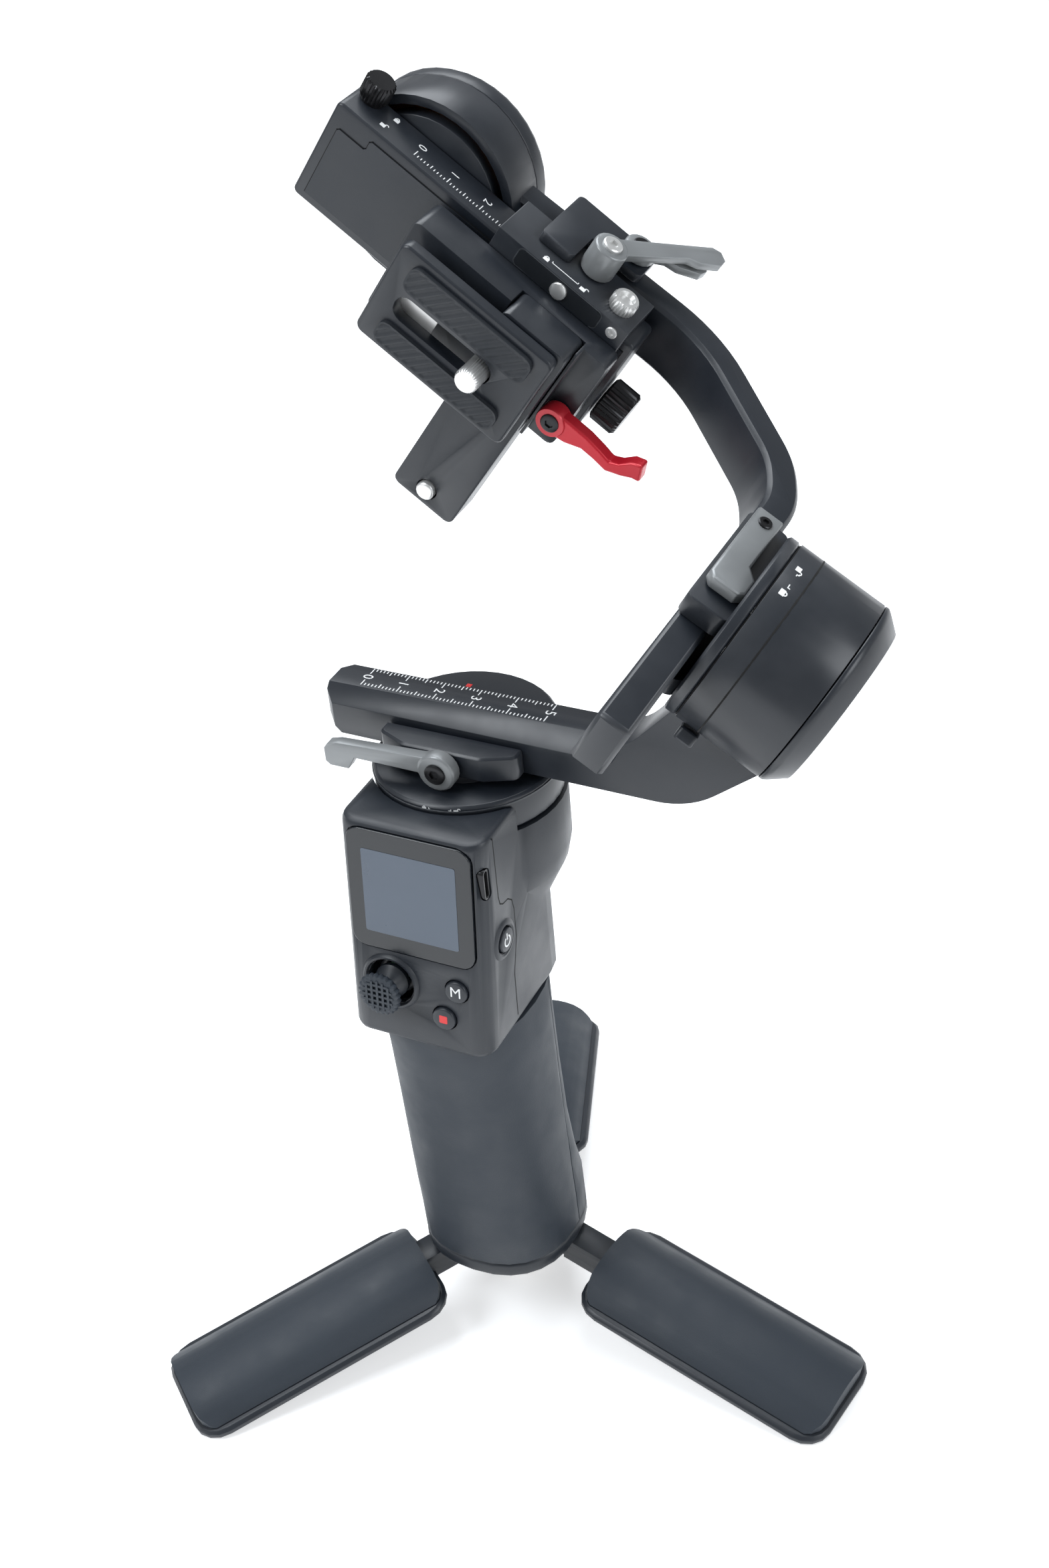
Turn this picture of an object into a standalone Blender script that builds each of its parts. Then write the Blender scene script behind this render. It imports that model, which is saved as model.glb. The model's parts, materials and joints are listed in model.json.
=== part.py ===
"""A handheld three-axis camera gimbal, standing on its open tripod.

Units in this file are millimetres until a mesh is made, which is where MM turns them into metres.
The part frame: +Z up, -Y is the side with the screen, +X is the way that the pan arm points. The feet
stand on Z = 0. The origin is under the middle of the whole outline; PAN_AXIS_AT says where the pan axis
stands, and the handle, the head and the pan clamp are dimensioned from that axis.
"""

import math

import bmesh
import bpy
from mathutils import Matrix, Vector

MM = 0.001
GAP = 0.3

PAN_AXIS_AT = (-15.5, -6.0, 0.0)

# Attitude of the three axes as the gimbal is stored.
ROLL_AXIS_DROP = 32.0
ROLL_REST = 3.7
TILT_REST = 4.6
ROLL_MOTOR_AT = (69.25, 0.0, 232.0)
TILT_MOTOR_IN_ROLL = (-121.7, 61.1, -5.5)

# Tripod.
LEG_AZIMUTHS = (-8.5, 111.5, 231.5)
LEG_SLOPE = 10.4
LEG_HINGE_RADIUS = 15.5
LEG_HINGE_Z = 20.9
LEG_LENGTH = 92.0
LEG_ROOT = 14.0
LEG_HALF_WIDTH = 17.6
LEG_UNDERSIDE = -5.0
LEG_RIM_TOP = -2.0
LEG_ARC = 20.5
LEG_ARC_CENTRE = -15.2
HINGE_PIN = 1.2
HUB_RADIUS = 18.3
HUB_TOP = 24.7
HUB_DISC_LOW = 15.5
HUB_BOSS_RADIUS = 9.5
HUB_BOSS_LOW = 5.0

# Handle: height, half width, front and back of each section of the grip.
HANDLE_BOTTOM = 25.0
BASE_RING_TOP = 29.7
GRIP_SECTIONS = (
    (30.0, 21.8, -28.5, 15.5),
    (40.0, 21.5, -29.5, 15.5),
    (50.0, 21.1, -30.5, 12.8),
    (65.0, 20.8, -31.5, 10.2),
    (85.0, 20.5, -33.0, 9.0),
    (105.0, 20.2, -35.0, 8.6),
    (118.0, 20.0, -37.4, 9.0),
)
GRIP_SPLIT_Y = -4.0
GRIP_WALL = 2.2

# Head.
HEAD_LOW = 118.3
HEAD_TOP = 179.6
POD_TOP = 172.0
HEAD_HALF_WIDTH = 19.6
FACE_AT = (0.0, -36.0, 150.0)
FACE_LEAN = 6.0
HEAD_WALL = 2.2
GLASS = 33.6
GLASS_UP = 11.5
PAN_HOUSING_RADIUS = 24.2
PAN_RING_RADIUS = 23.6
PAN_BORE_RADIUS = 17.0
JOYSTICK_AT = (-7.0, -14.6)
RECORD_AT = (7.6, -21.5)
MODE_AT = (11.4, -12.6)
STICK_PIVOT_DEPTH = 4.6

# Pan clamp and pan arm.
ROTOR_TOP = 181.5
ARM_LOW = 184.0
ARM_TOP = 196.3
ARM_HALF_WIDTH = 6.2
ARM_LEFT = -36.0
ARM_END_CHAMFER = 3.4
ARM_FACET_START = 2.7          # depth of the slanting facet at the arm's free end
ARM_FACET_TAPER = 0.5          # degrees: the facet grows wider towards the roll motor
ARM_FACET_END = 78.0
ROTOR_CAP_RADIUS = 23.0
ROTOR_CAP_TOP = 190.8

# Motors.
ROLL_MOTOR_RADIUS = 23.3
ROLL_CASTING_END = 25.8
ROLL_MOTOR_END = 31.5
TILT_MOTOR_RADIUS = 25.2
TILT_RIM = 4.8
TILT_CASTING_END = 17.6
TILT_MOTOR_END = 25.0
MOTOR_WALL = 2.4

# Roll arm: a flat bar bent in the plane of the roll and tilt axes.
BAR_HALF_WIDTH = 8.0
BAR_THICKNESS = 8.0
BAR_PATH = ((-5.8, -54.0), (-5.8, 37.0), (-12.0, 48.5), (-43.0, 70.6), (-103.0, 74.4))
BAR_BENDS = (0.0, 22.0, 24.0, 40.0, 0.0)

# Tilt rail and camera mount, in the tilt frame: X along the rail, Y away from the camera, Z up.
RAIL_X = (-25.6, 65.0)
RAIL_Y = (-7.2, 4.1)
RAIL_HALF = 15.0
BRACKET_X = (23.0, 62.0)
BRACKET_TOP = 19.5
BUTTON_AT = (42.8, 16.4)
BRACKET_FRONT = -10.5
JAW_Z = (19.8, 22.2)
CLAMP_X = (7.5, 63.5)
CLAMP_Z = (-15.5, 13.8)
CLAMP_FRONT = -21.5
SLIDE_X = (36.8, 55.4)
SLIDE_Z = (-50.0, 14.0)
SLIDE_FRONT = -26.0
PLATE_X = (9.5, 54.3)
PLATE_Z = (-16.0, 13.5)
PLATE_FRONT = -30.0
CAMERA_SCREW_AT = (40.0, -2.0)

FINE = 40
MEDIUM = 24
SMALL = 16


# ---------------------------------------------------------------- frames

def turn(degrees, axis):
    return Matrix.Rotation(math.radians(degrees), 4, axis)


def shift(x, y, z):
    return Matrix.Translation((x * MM, y * MM, z * MM))


HANDLE = shift(*PAN_AXIS_AT)
FACE = HANDLE @ shift(*FACE_AT) @ turn(-FACE_LEAN, "X")
ROLL = HANDLE @ shift(*ROLL_MOTOR_AT) @ turn(ROLL_AXIS_DROP, "Y") @ turn(ROLL_REST, "X")
TILT = ROLL @ shift(*TILT_MOTOR_IN_ROLL) @ turn(TILT_REST, "Y")


def hinge_frame(azimuth):
    return HANDLE @ turn(azimuth, "Z") @ shift(LEG_HINGE_RADIUS, 0, LEG_HINGE_Z)


def leg_frame(azimuth):
    return hinge_frame(azimuth) @ turn(LEG_SLOPE, "Y")


# ---------------------------------------------------------------- materials

def material(name, colour, roughness, metallic=0.0):
    made = bpy.data.materials.new(name)
    made.use_nodes = True
    shader = made.node_tree.nodes["Principled BSDF"]
    shader.inputs["Base Color"].default_value = (*colour, 1.0)
    shader.inputs["Roughness"].default_value = roughness
    shader.inputs["Metallic"].default_value = metallic
    return made


def make_materials():
    return {
        "plastic": material("black_plastic", (0.05, 0.055, 0.06), 0.45),
        "rubber": material("soft_rubber", (0.06, 0.07, 0.08), 0.7),
        "metal": material("black_anodised", (0.06, 0.065, 0.07), 0.38, 0.6),
        "grey": material("grey_lever", (0.32, 0.34, 0.34), 0.4, 0.3),
        "red": material("red_anodised", (0.6, 0.03, 0.03), 0.35, 0.5),
        "steel": material("steel", (0.6, 0.6, 0.6), 0.25, 1.0),
        "glass": material("screen_glass", (0.03, 0.035, 0.04), 0.08),
        "display": material("display", (0.12, 0.14, 0.17), 0.3),
        "board": material("circuit_board", (0.02, 0.12, 0.05), 0.5),
        "copper": material("copper_winding", (0.6, 0.25, 0.1), 0.35, 1.0),
        "cell": material("cell_wrap", (0.1, 0.25, 0.5), 0.5),
    }


# ---------------------------------------------------------------- outlines

def arc(centre, radius, start, end, steps):
    cx, cy = centre
    angles = [math.radians(start + (end - start) * i / steps) for i in range(steps + 1)]
    return [(cx + radius * math.cos(a), cy + radius * math.sin(a)) for a in angles]


def round_box(x, y, radius, steps=4):
    """A rectangle with round corners, counter-clockwise."""
    (x0, x1), (y0, y1) = x, y
    corners = (
        ((x1 - radius, y0 + radius), -90),
        ((x1 - radius, y1 - radius), 0),
        ((x0 + radius, y1 - radius), 90),
        ((x0 + radius, y0 + radius), 180),
    )
    return [p for centre, start in corners for p in arc(centre, radius, start, start + 90, steps)]


def fillet(points, radii, steps=5):
    """An open path whose inner corners are arcs of the given radii."""
    path = [Vector(points[0])]
    for before, here, after, radius in zip(points, points[1:], points[2:], radii[1:]):
        here = Vector(here)
        to_before = (Vector(before) - here).normalized()
        to_after = (Vector(after) - here).normalized()
        half = to_before.angle(to_after) / 2
        back = radius / math.tan(half)
        centre = here + (to_before + to_after).normalized() * radius / math.sin(half)
        first, last = here + to_before * back, here + to_after * back
        for i in range(steps + 1):
            mixed = (first - centre).lerp(last - centre, i / steps).normalized()
            path.append(centre + mixed * radius)
    path.append(Vector(points[-1]))
    return path


def ribbon(path, thickness):
    """The closed outline of a strip of even thickness along an open path."""
    left, right = [], []
    for i, here in enumerate(path):
        before, after = path[max(i - 1, 0)], path[min(i + 1, len(path) - 1)]
        along = (after - before).normalized()
        across = Vector((-along.y, along.x)) * thickness / 2
        left.append(tuple(here + across))
        right.append(tuple(here - across))
    return right + left[::-1]


def grip_outline(half_width, front, back, grow=0.0, steps=28, power=2.35):
    """A squarish oval: a superellipse around the middle of the grip."""
    middle, half_depth = (front + back) / 2, (back - front) / 2
    points = []
    for i in range(steps):
        a = 2 * math.pi * i / steps
        c, s = math.cos(a), math.sin(a)
        x = math.copysign(abs(c) ** (2 / power), c) * (half_width + grow)
        y = math.copysign(abs(s) ** (2 / power), s) * (half_depth + grow)
        points.append((x, middle + y))
    return points


# ---------------------------------------------------------------- solids

class Assembly:
    """Keeps the frames of the moving bodies and makes the named objects in them."""

    def __init__(self):
        self.materials = make_materials()
        self.frames = {}

    def body(self, name, frame, parent=None):
        empty = bpy.data.objects.new("axis_" + name, None)
        empty.empty_display_size = 0.01
        bpy.context.scene.collection.objects.link(empty)
        above = self.frames[parent][1] if parent else Matrix.Identity(4)
        empty.parent = self.frames[parent][0] if parent else None
        empty.matrix_basis = above.inverted() @ frame
        self.frames[name] = (empty, frame)

    def place(self, mesh_maker, name, body, look, frame=None):
        """Puts the mesh, made in the given frame, under the body's empty."""
        empty, at = self.frames[body]
        mesh = bpy.data.meshes.new(name)
        mesh_maker(mesh)
        obj = bpy.data.objects.new(name, mesh)
        bpy.context.scene.collection.objects.link(obj)
        obj.parent = empty
        obj.matrix_basis = at.inverted() @ (frame if frame is not None else at)
        if look:
            mesh.materials.append(self.materials[look])
        return obj

    def tool(self, mesh_maker, body, frame=None):
        obj = self.place(mesh_maker, "cutter", body, None, frame)
        obj.hide_render = True
        obj.display_type = "WIRE"
        return obj


def finish_mesh(bm, mesh, smooth=True):
    bmesh.ops.scale(bm, vec=(MM, MM, MM), verts=bm.verts)
    bmesh.ops.recalc_face_normals(bm, faces=bm.faces)
    bm.to_mesh(mesh)
    bm.free()
    if smooth:
        mesh.shade_smooth()
        mesh.set_sharp_from_angle(angle=math.radians(35))


def skin(loops, mesh, closed=False):
    """Joins a row of equal loops of points into a tube, capped at both ends unless it is closed."""
    bm = bmesh.new()
    rings = [[bm.verts.new(p) for p in loop] for loop in loops]
    pairs = list(zip(rings, rings[1:]))
    if closed:
        pairs.append((rings[-1], rings[0]))
    for low, high in pairs:
        for i in range(len(low)):
            j = (i + 1) % len(low)
            bm.faces.new((low[i], low[j], high[j], high[i]))
    if not closed:
        bm.faces.new(rings[0][::-1])
        bm.faces.new(rings[-1])
    finish_mesh(bm, mesh)


def prism(outline, low, high, plane="XY"):
    """An outline pushed from low to high along the axis that its plane leaves out."""
    order = {
        "XY": lambda a, b, h: (a, b, h),
        "XZ": lambda a, b, h: (a, h, b),
        "YZ": lambda a, b, h: (h, a, b),
    }
    place = order[plane]
    return lambda mesh: skin([[place(a, b, h) for a, b in outline] for h in (low, high)], mesh)


def block(x, y, z, radius=0.0, plane="XY"):
    """A box whose edges along one axis are rounded."""
    spans = {"XY": (x, y, z), "XZ": (x, z, y), "YZ": (y, z, x)}
    first, second, along = spans[plane]
    if radius > 0:
        outline = round_box(first, second, radius)
    else:
        outline = [(first[0], second[0]), (first[1], second[0]), (first[1], second[1]),
                   (first[0], second[1])]
    return prism(outline, along[0], along[1], plane)


def turned(profile, axis="Z", steps=MEDIUM, at=(0, 0, 0)):
    """A profile of (radius, height) points turned about an axis through a point."""
    def make(mesh):
        bm = bmesh.new()
        rows = []
        for radius, height in profile:
            count = steps if radius > 1e-6 else 1
            row = []
            for i in range(count):
                a = 2 * math.pi * (i + 0.5) / steps
                u, v = radius * math.cos(a), radius * math.sin(a)
                point = {"X": (height, u, v), "Y": (v, height, u), "Z": (u, v, height)}[axis]
                row.append(bm.verts.new(Vector(point) + Vector(at)))
            rows.append(row)
        ring = profile[0][0] > 1e-6 and profile[-1][0] > 1e-6
        pairs = list(zip(rows, rows[1:])) + ([(rows[-1], rows[0])] if ring else [])
        for low, high in pairs:
            for i in range(steps):
                j = (i + 1) % steps
                corners = (low[i % len(low)], low[j % len(low)], high[j % len(high)], high[i % len(high)])
                bm.faces.new(list(dict.fromkeys(corners)))
        finish_mesh(bm, mesh)
    return make


def rod(radius, low, high, axis="Z", steps=MEDIUM, at=(0, 0, 0), bevel=0.0):
    """A round bar with an optional chamfer at both ends."""
    profile = [(0, low), (radius - bevel, low), (radius, low + bevel), (radius, high - bevel),
               (radius - bevel, high), (0, high)]
    if not bevel:
        profile = [(0, low), (radius, low), (radius, high), (0, high)]
    return turned(profile, axis, steps, at)


def tube(inner, outer, low, high, axis="Z", steps=MEDIUM, at=(0, 0, 0)):
    return turned([(inner, low), (outer, low), (outer, high), (inner, high)], axis, steps, at)


def boolean(obj, operation, tools, solver="EXACT"):
    for tool in tools:
        modifier = obj.modifiers.new(operation.lower(), "BOOLEAN")
        modifier.operation = operation
        modifier.solver = solver
        modifier.object = tool


def cut(obj, *tools):
    boolean(obj, "DIFFERENCE", tools)


def fuse(obj, *tools):
    boolean(obj, "UNION", tools)


def keep(obj, *tools):
    boolean(obj, "INTERSECT", tools)


def soften(obj, width, segments=1):
    modifier = obj.modifiers.new("soften", "BEVEL")
    modifier.width = width * MM
    modifier.segments = segments
    modifier.limit_method = "ANGLE"
    modifier.angle_limit = math.radians(50)


# ---------------------------------------------------------------- tripod

def build_tripod(kit):
    hub = kit.place(turned([(0, HUB_BOSS_LOW), (HUB_BOSS_RADIUS - 0.6, HUB_BOSS_LOW),
                            (HUB_BOSS_RADIUS, HUB_BOSS_LOW + 0.6), (HUB_BOSS_RADIUS, HUB_DISC_LOW),
                            (HUB_RADIUS - 2, HUB_DISC_LOW), (HUB_RADIUS, HUB_DISC_LOW + 2),
                            (HUB_RADIUS, HUB_TOP - 1), (HUB_RADIUS - 1, HUB_TOP), (0, HUB_TOP)],
                           steps=FINE), "tripod_hub", "handle", "plastic")
    cut(hub, kit.tool(rod(3.6, HUB_BOSS_LOW - 1, HUB_TOP + 1), "handle"),
        kit.tool(rod(7.2, HUB_BOSS_LOW - 1, HUB_BOSS_LOW + 4.5), "handle"))
    kit.place(turned([(0, 5.6), (6.6, 5.6), (6.6, 9.2), (3.1, 9.2), (3.1, 33.0), (2.4, 34.0), (0, 34.0)]),
              "tripod_screw", "handle", "steel")
    floor = kit.tool(block((-130, 130), (-130, 130), (-20, 0)), "handle")
    for number, azimuth in enumerate(LEG_AZIMUTHS, 1):
        flat = hinge_frame(azimuth)
        cut(hub, kit.tool(block((-5.0, 8), (-4.5, 4.5), (-12, 12)), "handle", flat),
            kit.tool(rod(HINGE_PIN + GAP, -7.2, 7.2, "Y", 12), "handle", flat))
        kit.place(rod(HINGE_PIN, -6.9, 6.9, "Y", 12), f"leg_hinge_pin_{number}", "handle", "steel", flat)
        build_leg(kit, number, azimuth, floor)


def build_leg(kit, number, azimuth, floor):
    body = f"leg_{number}"
    kit.body(body, leg_frame(azimuth), "handle")
    sides = (-LEG_HALF_WIDTH, LEG_HALF_WIDTH)
    rim = kit.place(block((LEG_ROOT, LEG_LENGTH), sides, (LEG_UNDERSIDE, LEG_RIM_TOP), 8.0),
                    f"leg_frame_{number}", body, "plastic")
    soften(rim, 0.9)
    neck = kit.tool(block((0, LEG_ROOT + 6), (-4, 4), (LEG_UNDERSIDE, 3.0)), body)
    core = kit.tool(block((LEG_ROOT + 4, LEG_LENGTH - 6), (-6, 6), (LEG_RIM_TOP - 1, 1.0)), body)
    barrel = kit.tool(rod(4.0, -4, 4, "Y", 16), body)
    fuse(rim, neck, barrel, core)
    cut(rim, kit.tool(rod(HINGE_PIN + GAP, -5, 5, "Y", 12), body), floor,
        kit.tool(block((-6, 3), (-5, 5), (LEG_UNDERSIDE - 1, -4.0)), body))
    pad = kit.place(block((LEG_ROOT + 1.2, LEG_LENGTH - 1.6), (-LEG_HALF_WIDTH + 1.2, LEG_HALF_WIDTH - 1.2),
                          (LEG_RIM_TOP + GAP, 8), 7.0), f"leg_pad_{number}", body, "rubber")
    keep(pad, kit.tool(rod(LEG_ARC, LEG_ROOT - 2, LEG_LENGTH + 2, "X", 48, (0, 0, LEG_ARC_CENTRE)), body))
    cut(pad, kit.tool(block((LEG_ROOT + 3.7, LEG_LENGTH - 5.7), (-6.3, 6.3), (-4, 1.3)), body),
        kit.tool(block((LEG_ROOT - 1, LEG_ROOT + 6.3), (-4.3, 4.3), (-4, 3.3)), body))


# ---------------------------------------------------------------- handle

def grip_loft(grow, z_low, z_high):
    """The grip between two heights, with its sections read from GRIP_SECTIONS."""
    def at(z):
        for low, high in zip(GRIP_SECTIONS, GRIP_SECTIONS[1:]):
            if z <= high[0]:
                part = (z - low[0]) / (high[0] - low[0])
                return [a + (b - a) * part for a, b in zip(low[1:], high[1:])]
        return GRIP_SECTIONS[-1][1:]
    heights = [z_low] + [row[0] for row in GRIP_SECTIONS if z_low < row[0] < z_high] + [z_high]
    def make(mesh):
        loops = []
        for z in heights:
            half, front, back = at(z)
            loops.append([(x, y, z) for x, y in grip_outline(half, front, back, grow)])
        skin(loops, mesh)
    return make


def build_handle(kit):
    low, high = GRIP_SECTIONS[0][0], GRIP_SECTIONS[-1][0]
    half, front, back = GRIP_SECTIONS[0][1:]
    base = kit.place(prism(grip_outline(half, front, back), HANDLE_BOTTOM, BASE_RING_TOP), "base_ring",
                     "handle", "plastic")
    soften(base, 1.0, 2)
    cut(base, kit.tool(rod(3.4, HANDLE_BOTTOM - 1, BASE_RING_TOP + 1), "handle"))
    for name, side in (("grip_front_shell", (-60, GRIP_SPLIT_Y - GAP / 2)),
                       ("grip_rear_shell", (GRIP_SPLIT_Y + GAP / 2, 60))):
        shell = kit.place(grip_loft(0.0, low, high), name, "handle", "rubber")
        cut(shell, kit.tool(grip_loft(-GRIP_WALL, low + 2.0, high + 5), "handle"),
            kit.tool(rod(6.0, low - 1, low + 3, at=(0, 0, 0)), "handle"))
        keep(shell, kit.tool(block((-40, 40), side, (20, 130)), "handle"))
    battery = kit.place(rod(8.3, 36, 106, steps=20, at=(-8.5, -11, 0), bevel=0.8), "battery_pack",
                        "handle", "cell")
    fuse(battery, kit.tool(rod(8.3, 36, 106, steps=20, at=(8.5, -11, 0), bevel=0.8), "handle"),
         kit.tool(block((-8, 8), (-18, -4), (40, 102)), "handle"))


def head_outline(half, front, back, front_round, back_round, steps=5):
    """A rectangle with tight corners towards the screen and easy ones at the back."""
    corners = (
        ((half - front_round, front + front_round), front_round, -90),
        ((half - back_round, back - back_round), back_round, 0),
        ((back_round - half, back - back_round), back_round, 90),
        ((front_round - half, front + front_round), front_round, 180),
    )
    return [p for centre, radius, start in corners for p in arc(centre, radius, start, start + 90, steps)]


def head_loft(grow, z_low, z_high):
    """The square head, whose screen side leans back with height and whose back narrows to the grip."""
    def make(mesh):
        loops = []
        for z in (z_low, z_high):
            lean = math.tan(math.radians(FACE_LEAN)) * (z - FACE_AT[2])
            half = HEAD_HALF_WIDTH + grow
            front = FACE_AT[1] + lean - grow
            back = 9.0 + grow
            loops.append([(x, y, z) for x, y in head_outline(half, front, back, 5.0 + grow, 12.0 + grow)])
        skin(loops, mesh)
    return make


def build_head(kit):
    head = kit.place(head_loft(0.0, HEAD_LOW, HEAD_TOP), "head_housing", "handle", "plastic")
    motor_bell = turned([(0, 136), (15.5, 136), (PAN_HOUSING_RADIUS - 1, 152), (PAN_HOUSING_RADIUS, 157),
                         (PAN_HOUSING_RADIUS, POD_TOP), (0, POD_TOP)], steps=FINE)
    soften(head, 1.6, 2)
    fuse(head, kit.tool(motor_bell, "handle"))
    cut(head, kit.tool(head_loft(-HEAD_WALL, HEAD_LOW - 1, POD_TOP - 3), "handle"),
        kit.tool(rod(PAN_BORE_RADIUS, 155, 181, steps=FINE), "handle"),
        kit.tool(rod(PAN_RING_RADIUS + 0.6, POD_TOP, 190, steps=FINE), "handle"),
        kit.tool(block((-14, 14), (1, 5), (0, 26)), "handle", FACE),
        kit.tool(block((-GLASS / 2 - GAP, GLASS / 2 + GAP), (-3, 1.6),
                       (GLASS_UP - GLASS / 2 - GAP, GLASS_UP + GLASS / 2 + GAP), 4.0, "XZ"), "handle", FACE),
        kit.tool(block((-13.7, 13.7), (-1, 4), (GLASS_UP - 12.7, GLASS_UP + 12.7)), "handle", FACE))
    for (x, z), radius in ((JOYSTICK_AT, 6.4), (RECORD_AT, 3.5), (MODE_AT, 3.4)):
        cut(head, kit.tool(rod(radius, -3, 5, "Y", SMALL, (x, 0, z)), "handle", FACE))
    cut(head, kit.tool(rod(3.6, 15, 24, "X", SMALL, (0, -26, 147.5)), "handle"),
        kit.tool(block((15, 24), (-32.7, -29.5), (163.4, 172.6), 1.5, "YZ"), "handle"),
        kit.tool(block((-6.6, 6.6), (4, 20), (118, 136.6)), "handle"),
        kit.tool(block((-6.4, 6.4), (4, 30), (138.6, 151.5)), "handle"))
    kit.place(block((-GLASS / 2, GLASS / 2), (-0.3, 1.0), (GLASS_UP - GLASS / 2, GLASS_UP + GLASS / 2),
                    3.7, "XZ"), "screen_glass", "handle", "glass", FACE)
    kit.place(block((-13.4, 13.4), (1.9, 4.4), (GLASS_UP - 12.4, GLASS_UP + 12.4)), "display_panel",
              "handle", "display", FACE)
    kit.place(block((-14.8, 14.8), (12.5, 14.1), (-22, 16)), "main_board", "handle", "board", FACE)
    port = kit.place(block((16.6, 19.3), (-32.4, -29.8), (163.7, 172.3), 1.2, "YZ"), "usb_c_socket",
                     "handle", "steel")
    cut(port, kit.tool(block((17.6, 21), (-31.9, -30.3), (164.2, 171.8), 0.75, "YZ"), "handle"))
    kit.place(tube(5.0, PAN_BORE_RADIUS - GAP, 158.5, POD_TOP - GAP, steps=30), "pan_motor_coil", "handle",
              "copper")
    build_controls(kit)


def build_controls(kit):
    stick_x, stick_z = JOYSTICK_AT
    pivot = FACE @ shift(stick_x, STICK_PIVOT_DEPTH, stick_z)
    kit.body("joystick_ring", pivot, "handle")
    kit.place(tube(3.4, 5.2, -1.1, 1.1, "Y", SMALL), "joystick_gimbal_ring", "joystick_ring", "metal")
    kit.body("joystick", pivot, "joystick_ring")
    cap = [(0, -11.2), (4.2, -11.2), (5.6, -10.2), (5.6, -9.0), (4.4, -8.0), (1.9, -7.4), (1.6, -2.2),
           (2.4, -1.6), (2.6, 0), (2.0, 1.6), (0, 2.2)]
    kit.place(turned(cap, "Y", 20), "joystick_cap", "joystick", "rubber")
    for name, (x, z), radius in (("record_button", RECORD_AT, 3.15), ("mode_button", MODE_AT, 3.05)):
        kit.body(name, FACE @ shift(x, 0, z), "handle")
        kit.place(rod(radius, -0.9, 4.0, "Y", 20, bevel=0.3), name, name, "plastic")
    kit.body("power_button", HANDLE @ shift(HEAD_HALF_WIDTH, -26, 147.5), "handle")
    kit.place(rod(3.25, -3.4, 0.9, "X", 20, bevel=0.3), "power_button", "power_button", "plastic")
    kit.body("trigger", HANDLE @ shift(0, 7.0, 134.6), "handle")
    hook = [(-1.6, 1.2), (1.4, 1.4), (4.6, -1.5), (7.6, -6.5), (7.4, -10.5), (4.2, -15.4), (1.6, -16.2),
            (1.0, -11), (0.6, -5)]
    trigger = kit.place(prism(hook, -6.0, 6.0, "YZ"), "trigger", "trigger", "plastic")
    soften(trigger, 0.8)
    kit.body("front_dial", HANDLE @ shift(0, 8.6, 145.0), "handle")
    kit.place(rod(6.0, -5.8, 5.8, "X", 30, bevel=0.5), "front_dial", "front_dial", "metal")


# ---------------------------------------------------------------- pan clamp and pan arm

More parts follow.
